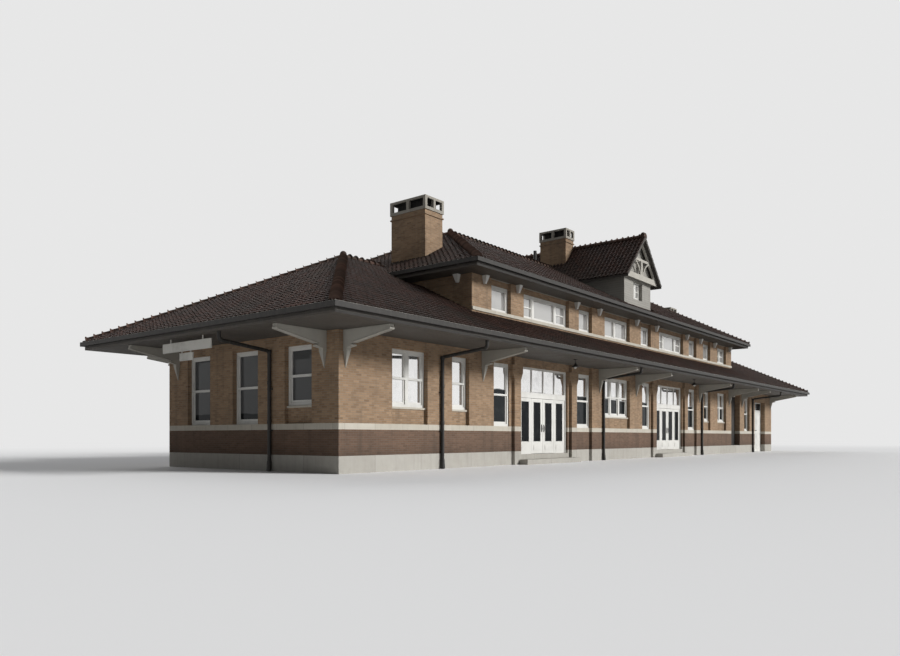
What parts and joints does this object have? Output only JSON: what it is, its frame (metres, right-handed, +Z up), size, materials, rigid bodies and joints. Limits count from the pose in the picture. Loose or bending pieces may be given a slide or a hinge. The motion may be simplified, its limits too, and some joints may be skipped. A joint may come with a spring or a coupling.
{
  "type": "railway station building, half-size scale model",
  "caption": "Long brick station building, half size, with wide bracketed eaves, hipped tile roofs, a clerestory storey, a cross gable and glazed entry doors that open.",
  "frame": {"origin": "on the ground at the centre of the walls footprint", "axes": "+X along the front wall to the right as seen from outside, +Y from the front to the rear, +Z up"},
  "size_m": [24.1, 6.48, 5.901],
  "materials": {
    "concrete": "cast concrete, weathered",
    "floor": "plain trowelled slab",
    "dark_brick": "dark pressed brick",
    "buff_brick": "buff pressed brick",
    "light_stone": "light cast stone",
    "roof_tile": "dark clay tile",
    "soffit_paint": "painted boarding",
    "gutter_metal": "painted sheet metal",
    "pipe_metal": "black paint",
    "white_trim": "white painted wood",
    "dark_paint": "dark painted boards",
    "window_glass": "window glass"
  },
  "bodies": {
    "building": {"baggage_doors": "dark_paint", "belt_course": "light_stone", "brick_wainscot": "dark_brick", "chimney_caps": "light_stone", "chimney_shafts": "buff_brick", "concrete_base": "concrete", "cross_gable_roof": "roof_tile", "end_window_frames": "white_trim", "entry_frames": "white_trim", "entry_sidelights": "white_trim", "entry_steps": "concrete", "front_wall": "buff_brick", "front_window_frames": "white_trim", "gable_trusses": "white_trim", "gable_walls": "white_trim", "ground_floor": "floor", "ground_window_glass": "window_glass", "left_end_wall": "buff_brick", "lower_brackets": "white_trim", "lower_gutter": "gutter_metal", "lower_roof_front": "roof_tile", "lower_roof_left": "roof_tile", "lower_roof_rear": "roof_tile", "lower_roof_right": "roof_tile", "lower_soffit": "soffit_paint", "pendant_lamps": "pipe_metal", "rainwater_pipes": "pipe_metal", "rear_entry_leaves": "white_trim", "rear_service_leaves": "white_trim", "rear_wall": "buff_brick", "rear_window_frames": "white_trim", "right_end_wall": "buff_brick", "roof_finials": "roof_tile", "roof_vent": "pipe_metal", "service_frame": "white_trim", "sign_board": "white_trim", "transom_glass": "window_glass", "upper_blocks": "white_trim", "upper_ceiling": "floor", "upper_end_walls": "buff_brick", "upper_floor": "floor", "upper_front_wall": "buff_brick", "upper_gutter": "gutter_metal", "upper_rear_wall": "buff_brick", "upper_roof": "roof_tile", "upper_sill_band": "light_stone", "upper_soffit": "soffit_paint", "upper_window_frames": "white_trim", "upper_window_glass": "window_glass", "wall_head": "buff_brick", "window_sills": "light_stone"},
    "left_entry_left_leaf_body": {"left_entry_left_leaf": "white_trim"},
    "left_entry_right_leaf_body": {"left_entry_right_leaf": "white_trim"},
    "right_entry_left_leaf_body": {"right_entry_left_leaf": "white_trim"},
    "right_entry_right_leaf_body": {"right_entry_right_leaf": "white_trim"},
    "service_left_leaf_body": {"service_left_leaf": "white_trim"},
    "service_right_leaf_body": {"service_right_leaf": "white_trim"}
  },
  "joints": [
    {"name": "left_entry_left_hinge", "type": "hinge", "parent": "building", "child": "left_entry_left_leaf_body", "pos_m": [-5.6675, -2.0107, 0.75], "axis": [0, 0, 1], "range_deg": [0, 90]},
    {"name": "left_entry_right_hinge", "type": "hinge", "parent": "building", "child": "left_entry_right_leaf_body", "pos_m": [-4.7925, -2.0107, 0.75], "axis": [0, 0, -1], "range_deg": [0, 90]},
    {"name": "right_entry_left_hinge", "type": "hinge", "parent": "building", "child": "right_entry_left_leaf_body", "pos_m": [0.8395, -2.0107, 0.75], "axis": [0, 0, 1], "range_deg": [0, 90]},
    {"name": "right_entry_right_hinge", "type": "hinge", "parent": "building", "child": "right_entry_right_leaf_body", "pos_m": [1.7145, -2.0107, 0.75], "axis": [0, 0, -1], "range_deg": [0, 90]},
    {"name": "service_left_hinge", "type": "hinge", "parent": "building", "child": "service_left_leaf_body", "pos_m": [8.9325, -2.0233, 0.72], "axis": [0, 0, -1], "range_deg": [0, 90]},
    {"name": "service_right_hinge", "type": "hinge", "parent": "building", "child": "service_right_leaf_body", "pos_m": [10.1025, -2.0233, 0.72], "axis": [0, 0, 1], "range_deg": [0, 90]}
  ]
}
